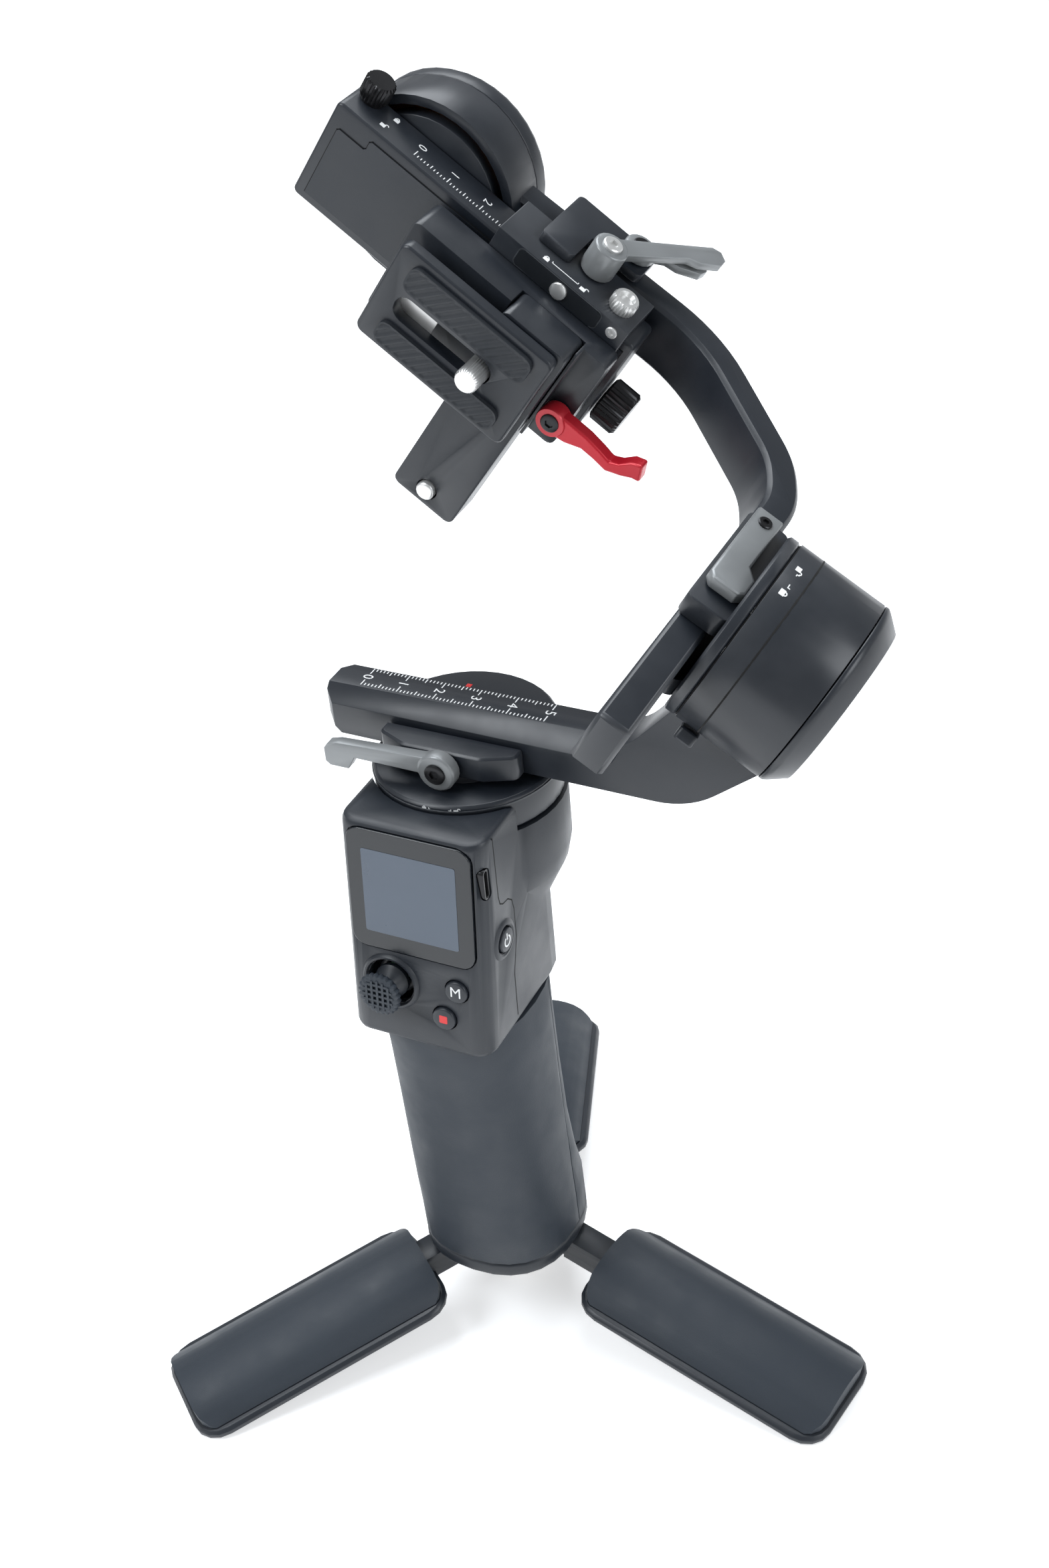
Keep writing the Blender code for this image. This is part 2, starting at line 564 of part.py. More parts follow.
def build_pan(kit):
    kit.body("pan_rotor", HANDLE, "handle")
    rotor = kit.place(rod(PAN_RING_RADIUS, POD_TOP + GAP, ROTOR_TOP, steps=FINE, bevel=0.7), "pan_rotor",
                      "pan_rotor", "metal")
    fuse(rotor, kit.tool(rod(4.0, 163.0, 176.0), "pan_rotor"),
         kit.tool(rod(13.5, 178, 183.4, steps=FINE), "pan_rotor"))
    cap = kit.tool(rod(ROTOR_CAP_RADIUS, 180.0, ROTOR_CAP_TOP, steps=FINE, bevel=0.8), "pan_rotor")
    keep(cap, kit.tool(block((-30, 30), (ARM_HALF_WIDTH + GAP, 30), (170, 195)), "pan_rotor"))
    fuse(rotor, cap)
    jaw_outline = fillet([(-18, -ARM_HALF_WIDTH - GAP), (-18, -10.5), (-10, -14.0), (11, -14.0), (19, -10.5),
                          (19, -ARM_HALF_WIDTH - GAP)], (0, 2, 4, 4, 2, 0), 4)
    jaw = kit.place(prism(jaw_outline, 183.8, ROTOR_CAP_TOP), "pan_clamp_jaw", "pan_rotor", "metal")
    soften(jaw, 0.6)
    kit.body("pan_lever", HANDLE @ shift(1.0, -16.4, 187.0), "pan_rotor")
    lever_kit(kit, "pan_clamp_lever", "pan_lever", 31.0)
    kit.body("pan_lock", HANDLE @ turn(200, "Z") @ shift(PAN_HOUSING_RADIUS, 0, 166.0), "handle")
    lock = kit.place(block((0.3, 2.6), (-4.0, 4.0), (-2.8, 2.8), 1.2, "YZ"), "pan_lock_slider", "pan_lock",
                     "plastic")
    soften(lock, 0.5)

    kit.body("pan_arm", HANDLE @ shift(0, 0, (ARM_LOW + ARM_TOP) / 2), "pan_rotor")
    lower = fillet([(ARM_LEFT + 4, ARM_LOW), (61, ARM_LOW - 0.8), (82, 199.5)], (0, 24, 0), 7)
    upper = fillet([(72, 214.0), (60, 212.0), (45, ARM_TOP), (ARM_LEFT, ARM_TOP), (ARM_LEFT, ARM_LOW + 4)],
                   (0, 6, 14, 0, 0), 6)
    arm = kit.place(prism(lower + upper, -ARM_HALF_WIDTH, ARM_HALF_WIDTH, "XZ"), "pan_arm", "pan_arm",
                    "metal", HANDLE)
    for side in (-1, 1):
        corner = [(ARM_LEFT - 1, side * (ARM_HALF_WIDTH + 1)),
                  (ARM_LEFT - 1, side * (ARM_HALF_WIDTH - ARM_END_CHAMFER)),
                  (ARM_LEFT + ARM_END_CHAMFER, side * (ARM_HALF_WIDTH + 1))]
        wedge = kit.tool(prism(corner[::side], ARM_LOW - 10, ARM_TOP + 10), "pan_arm", HANDLE)
        boolean(arm, "DIFFERENCE", [wedge], "MANIFOLD")
    edge = HANDLE @ shift(ARM_LEFT, -ARM_HALF_WIDTH, ARM_TOP)
    facet_frame = edge @ turn(ARM_FACET_TAPER, "Z") @ turn(45, "X")
    facet = prism([(-10, -ARM_FACET_START), (ARM_FACET_END, -ARM_FACET_START), (ARM_FACET_END + 12, 12),
                   (-10, 12)],
                  -15, 15, "XZ")
    boolean(arm, "DIFFERENCE", [kit.tool(facet, "pan_arm", facet_frame)], "MANIFOLD")
    casting = kit.tool(rod(ROLL_MOTOR_RADIUS, 3.0, ROLL_CASTING_END + 0.4, "X", FINE), "pan_arm", ROLL)
    boolean(arm, "UNION", [casting], "MANIFOLD")
    for radius, start, end in ((ROLL_MOTOR_RADIUS + 0.8, -40, 3.4),
                               (ROLL_MOTOR_RADIUS + GAP, ROLL_CASTING_END, 40),
                               (ROLL_MOTOR_RADIUS - MOTOR_WALL, 2, 40)):
        hollow = kit.tool(rod(radius, start, end, "X", FINE), "pan_arm", ROLL)
        boolean(arm, "DIFFERENCE", [hollow], "MANIFOLD")
    cap_profile = [(0, ROLL_CASTING_END + GAP), (ROLL_MOTOR_RADIUS, ROLL_CASTING_END + GAP),
                   (ROLL_MOTOR_RADIUS, ROLL_MOTOR_END - 4.5),
                   (ROLL_MOTOR_RADIUS - 0.6, ROLL_MOTOR_END - 3.6),
                   (ROLL_MOTOR_RADIUS - 3.6, ROLL_MOTOR_END), (0, ROLL_MOTOR_END)]
    kit.place(turned(cap_profile, "X", FINE), "roll_motor_cap", "pan_arm", "metal", ROLL)
    kit.place(tube(6.0, ROLL_MOTOR_RADIUS - MOTOR_WALL - GAP, 8.0, 22.0, "X", 30), "roll_motor_coil",
              "pan_arm", "copper", ROLL)
    kit.body("roll_lock", ROLL @ turn(-38, "X") @ shift(8.0, 0, -ROLL_MOTOR_RADIUS), "pan_arm")
    lock = kit.place(block((-2.4, 2.4), (-5.0, 5.0), (-3.6, -0.4), 1.0), "roll_lock_slider", "roll_lock",
                     "plastic")
    soften(lock, 0.4)


def lever_kit(kit, name, body, reach):
    """A clamp lever in the plane of its body's X and Z, pivoting about Y and lying along -X."""
    lever = kit.place(rod(5.0, -1.9, 1.9, "Y", 20, bevel=0.5), name, body, "grey")
    arm = [(0, -1.0), (2, 4.0), (-reach + 4, 2.6), (-reach + 1, 1.8), (-reach, 0.4), (-reach, -3.4),
           (-reach + 1.2, -4.4), (-reach + 6.4, -4.4), (-reach + 8.4, -0.8)]
    fuse(lever, kit.tool(prism(arm[::-1], -1.4, 1.6, "XZ"), body))


# ---------------------------------------------------------------- roll clamp and roll arm

def build_roll(kit):
    kit.body("roll_rotor", ROLL, "pan_arm")
    rotor = kit.place(rod(ROLL_MOTOR_RADIUS, 0.0, 3.1, "X", FINE, bevel=0.6), "roll_rotor", "roll_rotor",
                      "metal")
    top = (BAR_HALF_WIDTH + GAP, BAR_HALF_WIDTH + 5.8)
    fuse(rotor, kit.tool(rod(4.5, 2.0, 24.0, "X"), "roll_rotor"),
         kit.tool(block((-10.2, 0.5), (-16, 19.5), top, 2.0), "roll_rotor"),
         kit.tool(block((-10.2, 0.5), (-16, 20), (-top[1], -top[0]), 3.0), "roll_rotor"))
    kit.body("roll_lever", ROLL @ shift(-5.0, 13.5, BAR_HALF_WIDTH + 5.8 + GAP + 1.9), "roll_rotor")
    arm = [(-4.2, 4.4), (-4.2, -22.5), (-2.8, -24.5), (3.6, -24.5), (5.0, -23), (5.0, -17.5), (2.4, -14.5),
           (2.4, 4.4)]
    lever = kit.place(prism(arm, -1.7, 1.7), "roll_clamp_lever", "roll_lever", "grey")
    soften(lever, 0.5)

    kit.body("roll_arm", ROLL, "roll_rotor")
    outline = ribbon(fillet(BAR_PATH, BAR_BENDS, 7), BAR_THICKNESS)
    arm = kit.place(prism(outline, -BAR_HALF_WIDTH, BAR_HALF_WIDTH), "roll_arm", "roll_arm", "metal")
    soften(arm, 1.0)
    casting = kit.tool(tube(8.0, TILT_MOTOR_RADIUS, TILT_RIM, TILT_CASTING_END, "Y", FINE), "roll_arm", TILT)
    bore = kit.tool(rod(TILT_MOTOR_RADIUS - MOTOR_WALL, TILT_RIM - 2, TILT_CASTING_END + 2, "Y", FINE),
                    "roll_arm", TILT)
    fuse(arm, casting)
    cut(arm, bore)
    cap_profile = [(0, TILT_CASTING_END + GAP), (TILT_MOTOR_RADIUS, TILT_CASTING_END + GAP),
                   (TILT_MOTOR_RADIUS, TILT_MOTOR_END - 3), (TILT_MOTOR_RADIUS - 0.9, TILT_MOTOR_END - 1.2),
                   (TILT_MOTOR_RADIUS - 3, TILT_MOTOR_END), (0, TILT_MOTOR_END)]
    cap = kit.place(turned(cap_profile, "Y", FINE), "tilt_motor_cap", "roll_arm", "metal", TILT)
    cut(cap, kit.tool(rod(TILT_MOTOR_RADIUS - MOTOR_WALL, TILT_CASTING_END - 1, TILT_MOTOR_END - 4, "Y",
                          FINE),
                      "roll_arm", TILT))
    kit.place(tube(6.0, TILT_MOTOR_RADIUS - MOTOR_WALL - GAP, 10.0, 19.0, "Y", 30), "tilt_motor_coil",
              "roll_arm", "copper", TILT)


# ---------------------------------------------------------------- tilt rail and camera mount

def build_mount(kit):
    kit.body("tilt_rotor", TILT, "roll_arm")
    rotor = kit.place(rod(20.5, RAIL_Y[1] + GAP, 8.4, "Y", FINE), "tilt_rotor", "tilt_rotor", "metal")
    fuse(rotor, kit.tool(rod(4.5, 8.0, 20.0, "Y"), "tilt_rotor"))
    rail = kit.place(block(RAIL_X, RAIL_Y, (-RAIL_HALF, RAIL_HALF), 1.5, "XZ"), "tilt_rail", "tilt_rotor",
                     "metal")
    soften(rail, 0.5)
    kit.body("tilt_lock", TILT @ shift(-21.0, 1.6, RAIL_HALF), "tilt_rotor")
    kit.place(rod(3.3, 0.3, 6.0, "Z", 20, bevel=0.5), "tilt_lock_slider", "tilt_lock", "metal")
    kit.body("rail_knob", TILT @ shift(RAIL_X[1], -1.6, -6.5), "tilt_rotor")
    kit.place(rod(6.0, 0.4, 8.0, "X", MEDIUM, bevel=0.6), "rail_end_knob", "rail_knob", "metal")

    kit.body("bracket", TILT, "tilt_rotor")
    front_plate = round_box(BRACKET_X, (-13.4, BRACKET_TOP), 3.0)
    bracket = kit.place(prism(front_plate, BRACKET_FRONT, RAIL_Y[0] - GAP, "XZ"), "slide_bracket", "bracket",
                        "metal")
    fuse(bracket, kit.tool(block(BRACKET_X, (BRACKET_FRONT, RAIL_Y[1] + 0.2),
                                 (RAIL_HALF + GAP, BRACKET_TOP)), "bracket"))
    cut(bracket, kit.tool(rod(2.5, -12, -6, "Y", SMALL, (BUTTON_AT[0], 0, BUTTON_AT[1])), "bracket"))
    jaw = kit.place(block((31.0, 55.0), (5.6, 16.0), JAW_Z, 1.5), "bracket_rear_jaw", "bracket", "metal")
    fuse(jaw, kit.tool(block((31.0, 40.5), (-5.0, 8.0), JAW_Z, 1.5), "bracket"))
    kit.body("release_button", TILT @ shift(BUTTON_AT[0], BRACKET_FRONT, BUTTON_AT[1]), "bracket")
    kit.place(rod(2.2, -0.9, 2.2, "Y", SMALL), "bracket_release_button", "release_button", "steel")
    for name, at, heading, reach, foot in (("bracket_lever_upper", (46.0, 0.1, 26.9), 52, 33.0, 7.0),
                                           ("bracket_lever_lower", (50.6, 11.8, 23.7), 38, 18.0, 1.2)):
        kit.body(name, TILT @ shift(*at) @ turn(heading, "Z"), "bracket")
        lever = kit.place(rod(4.4, -foot, 1.2, "Z", 20, bevel=0.4), name, name, "grey")
        blade = [(0, -2.6), (reach - 11, -1.8), (reach - 8, -3.2), (reach - 2, -3.4), (reach, -1.8),
                 (reach, 1.0), (reach - 2, 2.4), (0, 2.6)]
        fuse(lever, kit.tool(prism(blade, -1.1, 1.0), name))

    clamp = kit.place(block(CLAMP_X, (CLAMP_FRONT, BRACKET_FRONT - GAP), CLAMP_Z, 2.0, "XZ"), "clamp_base",
                      "bracket", "metal")
    cut(clamp, kit.tool(block((SLIDE_X[0] - GAP, SLIDE_X[1] + GAP), (CLAMP_FRONT - 1, -15.7), (-60, 60)),
                        "bracket"),
        kit.tool(block((56.4, 70), (CLAMP_FRONT - 1, -18), (-20, 20)), "bracket"))
    kit.body("plate_lever", TILT @ shift(60.4, -20.6, -6.0), "bracket")
    lever = kit.place(rod(3.6, -2.2, 2.3, "Y", 20, bevel=0.4), "plate_lock_lever", "plate_lever", "red")
    blade = [(0, -3.6), (14, -1.8), (15, 0.2), (25, 2.2), (25.5, 6.0), (22, 7.4), (12, 5.6), (0, 3.6)]
    fuse(lever, kit.tool(prism(blade, -1.9, 1.9, "XZ"), "plate_lever"))

    kit.body("plate", TILT, "bracket")
    slide = kit.place(block(SLIDE_X, (SLIDE_FRONT, -16.0), SLIDE_Z, 2.0, "XZ"), "slide_plate", "plate",
                      "metal")
    cut(slide, kit.tool(rod(2.9, -30, -10, "Y", SMALL, (45.5, 0, -45.5)), "plate"),
        kit.tool(block((40.0, 51.8), (-23.0, -10), (-38, -22), 2.0, "XZ"), "plate"),
        kit.tool(rod(3.4, -30, -10, "Y", SMALL, (CAMERA_SCREW_AT[0], 0, CAMERA_SCREW_AT[1])), "plate"))
    plate = kit.place(block(PLATE_X, (PLATE_FRONT, SLIDE_FRONT - GAP), PLATE_Z, 2.2, "XZ"),
                      "quick_release_plate",
                      "plate", "metal")
    soften(plate, 0.5)
    cut(plate, kit.tool(block((15.0, CAMERA_SCREW_AT[0] + 3.5), (-32, -24), (-5.4, 1.5), 3.2, "XZ"),
                        "plate"))
    for name, z in (("grip_pad_upper", (3.6, 11.2)), ("grip_pad_lower", (-13.8, -7.2))):
        kit.place(block((14.5, 50.5), (PLATE_FRONT - 1.1, PLATE_FRONT - GAP), z, 2.5, "XZ"), name, "plate",
                  "rubber")
    kit.body("camera_screw", TILT @ shift(CAMERA_SCREW_AT[0], 0, CAMERA_SCREW_AT[1]), "plate")
    kit.place(turned([(0, -36.0), (2.6, -36.0), (3.1, -35.3), (3.1, -17.2), (0, -17.2)], "Y", SMALL),
              "camera_screw",
              "camera_screw", "steel")
    kit.body("plate_pin", TILT @ shift(45.5, SLIDE_FRONT, -45.5), "plate")
    kit.place(rod(2.5, -1.4, 8.0, "Y", SMALL, bevel=0.4), "slide_plate_pin", "plate_pin", "steel")


def main():
    for obj in list(bpy.data.objects):
        bpy.data.objects.remove(obj, do_unlink=True)
    kit = Assembly()
    kit.body("handle", HANDLE)
    build_tripod(kit)
    build_handle(kit)
    build_head(kit)
    build_pan(kit)
    build_roll(kit)
    build_mount(kit)


main()
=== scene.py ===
"""Looks of the handheld camera gimbal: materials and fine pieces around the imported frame."""
import json
import math

import bmesh
import bpy
from mathutils import Matrix, Vector


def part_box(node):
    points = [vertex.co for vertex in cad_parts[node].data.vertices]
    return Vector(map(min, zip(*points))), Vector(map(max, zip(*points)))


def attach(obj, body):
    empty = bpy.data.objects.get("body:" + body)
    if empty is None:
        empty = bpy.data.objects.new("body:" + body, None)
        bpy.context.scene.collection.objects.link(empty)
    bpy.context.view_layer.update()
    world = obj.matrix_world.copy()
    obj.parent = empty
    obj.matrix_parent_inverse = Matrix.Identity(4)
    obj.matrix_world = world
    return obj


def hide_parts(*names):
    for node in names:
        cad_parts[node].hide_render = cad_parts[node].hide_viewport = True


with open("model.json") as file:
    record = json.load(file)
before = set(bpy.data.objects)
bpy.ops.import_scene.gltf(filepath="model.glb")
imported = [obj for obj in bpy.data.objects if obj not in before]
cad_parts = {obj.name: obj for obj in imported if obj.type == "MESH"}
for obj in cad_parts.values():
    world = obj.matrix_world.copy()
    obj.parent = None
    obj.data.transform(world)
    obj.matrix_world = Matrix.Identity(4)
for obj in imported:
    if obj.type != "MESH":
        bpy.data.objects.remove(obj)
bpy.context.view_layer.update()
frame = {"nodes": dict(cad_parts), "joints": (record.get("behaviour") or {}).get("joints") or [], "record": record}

MM = 0.001
PRINT_HEIGHT = 0.035

# Faces of the CAD parts that fine pieces sit on, in millimetres in the frames below
HEAD_SIDE = 19.6
SCREEN_SHIFT = -7.6
PAN_RING_RADIUS = 23.6
PAN_CAP_TOP = 190.8
ARM_TOP = 196.3
ROLL_MOTOR_RADIUS = 23.3
RAIL_TOP = 15.0
RAIL_FRONT = -7.2
BRACKET_TOP = 19.5
BRACKET_FRONT = -10.5
PLATE_FRONT = -30.0
RIB_LIFT = 0.3
BUTTON_PROUD = 0.9
JOINTS = {joint["name"]: joint for joint in frame["joints"]}


# ---------------------------------------------------------------- frames

def frame_at(origin, x, y):
    """A frame from its origin and its x and y directions, in metres."""
    x, y = Vector(x).normalized(), Vector(y).normalized()
    z = x.cross(y)
    made = Matrix((x, y, z)).transposed().to_4x4()
    made.translation = Vector(origin)
    return made


def shift(x, y, z):
    return Matrix.Translation((x * MM, y * MM, z * MM))


def turn(degrees, axis):
    return Matrix.Rotation(math.radians(degrees), 4, axis)


PAN = frame_at((*JOINTS["pan_turn"]["pos_m"][:2], 0), (1, 0, 0), (0, 1, 0))
FACE = frame_at(JOINTS["record_button_press"]["pos_m"], (1, 0, 0), JOINTS["record_button_press"]["axis"])
ROLL = frame_at(JOINTS["roll_turn"]["pos_m"], JOINTS["roll_turn"]["axis"], JOINTS["roll_arm_slide"]["axis"])
TILT = frame_at(JOINTS["tilt_turn"]["pos_m"], JOINTS["bracket_slide"]["axis"], JOINTS["tilt_turn"]["axis"])


# ---------------------------------------------------------------- materials

def material(name, colour, roughness, metallic=0.0, grain=0.0, grain_size=0.3, mottle=0.15, wear=0.0,
             coat=0.0):
    """A moulded or anodised surface: mottled colour and gloss, a fine grain, and paler rubbed edges."""
    made = bpy.data.materials.new(name)
    made.use_nodes = True
    nodes, links = made.node_tree.nodes, made.node_tree.links
    shader = nodes["Principled BSDF"]
    shader.inputs["Metallic"].default_value = metallic
    shader.inputs["Coat Weight"].default_value = coat
    shader.inputs["Coat Roughness"].default_value = 0.12
    where = nodes.new("ShaderNodeTexCoord")
    cloud = nodes.new("ShaderNodeTexNoise")
    cloud.inputs["Scale"].default_value = 90
    cloud.inputs["Detail"].default_value = 5
    links.new(where.outputs["Object"], cloud.inputs["Vector"])
    tone = nodes.new("ShaderNodeMix")
    tone.data_type = "RGBA"
    tone.inputs["A"].default_value = (*[c * (1 - mottle) for c in colour], 1)
    tone.inputs["B"].default_value = (*[min(1, c * (1 + mottle)) for c in colour], 1)
    links.new(cloud.outputs["Fac"], tone.inputs["Factor"])
    gloss = nodes.new("ShaderNodeMapRange")
    gloss.inputs["From Min"].default_value = 0.3
    gloss.inputs["From Max"].default_value = 0.7
    gloss.inputs["To Min"].default_value = roughness * 0.88
    gloss.inputs["To Max"].default_value = min(1, roughness * 1.14)
    links.new(cloud.outputs["Fac"], gloss.inputs["Value"])
    links.new(gloss.outputs["Result"], shader.inputs["Roughness"])
    out = tone.outputs["Result"]
    if wear > 0:
        out = add_wear(nodes, links, out, cloud, colour, wear)
    links.new(out, shader.inputs["Base Color"])
    if grain > 0:
        fine = nodes.new("ShaderNodeTexNoise")
        fine.inputs["Scale"].default_value = 1 / (grain_size * MM)
        fine.inputs["Detail"].default_value = 2
        links.new(where.outputs["Object"], fine.inputs["Vector"])
        bump = nodes.new("ShaderNodeBump")
        bump.inputs["Strength"].default_value = grain
        bump.inputs["Distance"].default_value = 0.00006
        links.new(fine.outputs["Fac"], bump.inputs["Height"])
        links.new(bump.outputs["Normal"], shader.inputs["Normal"])
    return made


def add_wear(nodes, links, base, cloud, colour, wear):
    """Rubbed edges, found from the surface's convexity and broken up by the cloud."""
    shape = nodes.new("ShaderNodeNewGeometry")
    edge = nodes.new("ShaderNodeMapRange")
    edge.inputs["From Min"].default_value = 0.53
    edge.inputs["From Max"].default_value = 0.62
    links.new(shape.outputs["Pointiness"], edge.inputs["Value"])
    broken = nodes.new("ShaderNodeMath")
    broken.operation = "MULTIPLY"
    links.new(edge.outputs["Result"], broken.inputs[0])
    links.new(cloud.outputs["Fac"], broken.inputs[1])
    rub = nodes.new("ShaderNodeMix")
    rub.data_type = "RGBA"
    rub.inputs["B"].default_value = (*[min(1, c + wear) for c in colour], 1)
    links.new(broken.outputs["Value"], rub.inputs["Factor"])
    links.new(base, rub.inputs["A"])
    return rub.outputs["Result"]


LOOKS = {
    "black_plastic": material("moulded_black", (0.012, 0.0155, 0.0215), 0.42, grain=0.25, grain_size=0.35),
    "soft_rubber": material("grip_rubber", (0.018, 0.025, 0.035), 0.58, grain=0.5, grain_size=0.4,
                            mottle=0.1),
    "black_anodised": material("satin_anodised_black", (0.0105, 0.0135, 0.019), 0.36, grain=0.12,
                               grain_size=0.15, wear=0.05),
    "grey_lever": material("grey_cast_metal", (0.22, 0.23, 0.235), 0.36, 0.35, grain=0.12, wear=0.1),
    "red_anodised": material("red_anodised_metal", (0.48, 0.008, 0.02), 0.3, 0.25, grain=0.08, wear=0.06),
    "steel": material("bright_steel", (0.74, 0.74, 0.73), 0.34, 0.8, grain=0.05, grain_size=0.1),
    "screen_glass": material("black_glass", (0.007, 0.009, 0.012), 0.2, mottle=0.05, coat=0.1),
    "display": material("display_panel_back", (0.08, 0.09, 0.1), 0.4),
    "circuit_board": material("board_green", (0.01, 0.09, 0.03), 0.4, grain=0.3),
    "copper_winding": material("enamelled_copper", (0.5, 0.2, 0.08), 0.3, 1.0, grain=0.6, grain_size=0.6),
    "cell_wrap": material("cell_wrap_blue", (0.04, 0.12, 0.3), 0.35),
}
INK = material("white_print", (0.75, 0.76, 0.76), 0.5, mottle=0.1)
RED_INK = material("red_print", (0.65, 0.03, 0.03), 0.5)
LIT_PANEL = material("display_area", (0.066, 0.088, 0.122), 0.3, mottle=0.06, coat=0.12)
PAD_RUBBER = material("ribbed_rubber", (0.013, 0.016, 0.021), 0.6, grain=0.4)
# Near-black for parting lines and grooves, and for the painted shade of the roll motor's gap ring.
SEAM_AND_GAP_SHADE = material("parting_line_and_gap_shade", (0.002, 0.002, 0.002), 0.9)
DARK_FACE = material("satin_black", (0.005, 0.007, 0.010), 0.45)
# Pale colour for a painted edge highlight round the bracket's face plate.
EDGE_LIGHT = material("painted_edge_highlight", (0.06, 0.066, 0.074), 0.45)
DARK_STEEL = material("black_screw", (0.03, 0.03, 0.032), 0.3, 0.8, grain=0.1)


def dress_cad_nodes():
    """Gives every CAD node its finish, welds its facets into smooth skin and breaks its sharp edges."""
    slots = {row["node"]: row["material_slot"] for row in frame["record"]["subparts"]}
    for name, node in frame["nodes"].items():
        node.data.materials.clear()
        node.data.materials.append(LOOKS[slots[name]])
        weld = node.modifiers.new("weld", "WELD")
        weld.merge_threshold = 0.000002
        edge = node.modifiers.new("edge", "BEVEL")
        edge.width = 0.00028
        edge.segments = 2
        edge.limit_method = "ANGLE"
        edge.angle_limit = math.radians(38)
        edge.harden_normals = True
        node.data.shade_smooth()
    frame["nodes"]["usb_c_socket"].data.materials[0] = DARK_STEEL


# ---------------------------------------------------------------- mesh helpers

def add_piece(name, bm, body, look, at, smooth_angle=35):
    """Turns the mesh, drawn in millimetres in the frame, into a piece that rides on the body."""
    bmesh.ops.recalc_face_normals(bm, faces=bm.faces)
    bmesh.ops.scale(bm, vec=(MM, MM, MM), verts=bm.verts)
    bm.transform(at)
    mesh = bpy.data.meshes.new(name)
    bm.to_mesh(mesh)
    bm.free()
    mesh.shade_smooth()
    mesh.set_sharp_from_angle(angle=math.radians(smooth_angle))
    mesh.materials.append(look)
    made = bpy.data.objects.new(name, mesh)
    bpy.context.scene.collection.objects.link(made)
    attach(made, body)
    return made


def arc(centre, radius, start, end, steps):
    angles = [math.radians(start + (end - start) * i / steps) for i in range(steps + 1)]
    return [(centre[0] + radius * math.cos(a), centre[1] + radius * math.sin(a)) for a in angles]


def round_box(x, y, radius, steps=5):
    (x0, x1), (y0, y1) = x, y
    corners = (((x1 - radius, y0 + radius), -90), ((x1 - radius, y1 - radius), 0),
               ((x0 + radius, y1 - radius), 90), ((x0 + radius, y0 + radius), 180))
    return [p for centre, start in corners for p in arc(centre, radius, start, start + 90, steps)]


def add_slab(bm, outline, low, high, place=lambda u, v, h: (u, v, h)):
    """A flat outline given thickness, closed, added to the mesh."""
    rings = [[bm.verts.new(place(u, v, h)) for u, v in outline] for h in (low, high)]
    for i in range(len(outline)):
        j = (i + 1) % len(outline)
        bm.faces.new((rings[0][i], rings[0][j], rings[1][j], rings[1][i]))
    bm.faces.new(rings[0][::-1])
    bm.faces.new(rings[1])


def turned(profile, steps=48, teeth=0, depth=0.0, rows=()):
    """A turned solid about Z from (radius, height) points; the rows listed get teeth round them."""
    bm = bmesh.new()
    rings = []
    for k, (radius, height) in enumerate(profile):
        ring = []
        for i in range(steps if radius > 0 else 1):
            a = 2 * math.pi * i / steps
            r = radius - (depth * (0.5 + 0.5 * math.cos(teeth * a)) if k in rows else 0)
            ring.append(bm.verts.new((r * math.cos(a), r * math.sin(a), height)))
        rings.append(ring)
    for low, high in zip(rings, rings[1:]):
        for i in range(steps):
            j = (i + 1) % steps
            corners = (low[i % len(low)], low[j % len(low)], high[j % len(high)], high[i % len(high)])
            bm.faces.new(list(dict.fromkeys(corners)))
    return bm


def hex_screw(radius, height):
    """A round screw head with a hexagon socket in it."""
    bm = bmesh.new()
    steps = 36
    socket = radius * 0.5
    half_side = math.pi / 6

    def ring(r, h, hexagon=False):
        made = []
        for i in range(steps):
            a = 2 * math.pi * i / steps
            far = r
            if hexagon:
                far = r / math.cos((a % (2 * half_side)) - half_side) * math.cos(half_side)
            made.append(bm.verts.new((far * math.cos(a), far * math.sin(a), h)))
        return made

    rings = [ring(radius, 0), ring(radius, height * 0.7), ring(radius * 0.88, height),
             ring(socket, height, True), ring(socket, height * 0.15, True)]
    for low, high in zip(rings, rings[1:]):
        for i in range(steps):
            j = (i + 1) % steps
            bm.faces.new((low[i], low[j], high[j], high[i]))
    bm.faces.new(rings[0][::-1])
    bm.faces.new(rings[-1])
    return bm


# ---------------------------------------------------------------- print: ticks, digits, icons

def text_faces(word, size):
    """The filled outline of a word in the built-in font, centred, as corners and faces."""
    curve = bpy.data.curves.new("word", "FONT")
    curve.body = word
    curve.size = size
    curve.align_x = "CENTER"
    curve.align_y = "CENTER"
    curve.resolution_u = 3
    holder = bpy.data.objects.new("word", curve)
    bpy.context.scene.collection.objects.link(holder)
    bpy.context.view_layer.update()
    mesh = bpy.data.meshes.new_from_object(holder)
    corners = [(v.co.x, v.co.y) for v in mesh.vertices]
    faces = [tuple(p.vertices) for p in mesh.polygons]
    bpy.data.objects.remove(holder)
    bpy.data.curves.remove(curve)
    bpy.data.meshes.remove(mesh)
    return corners, faces


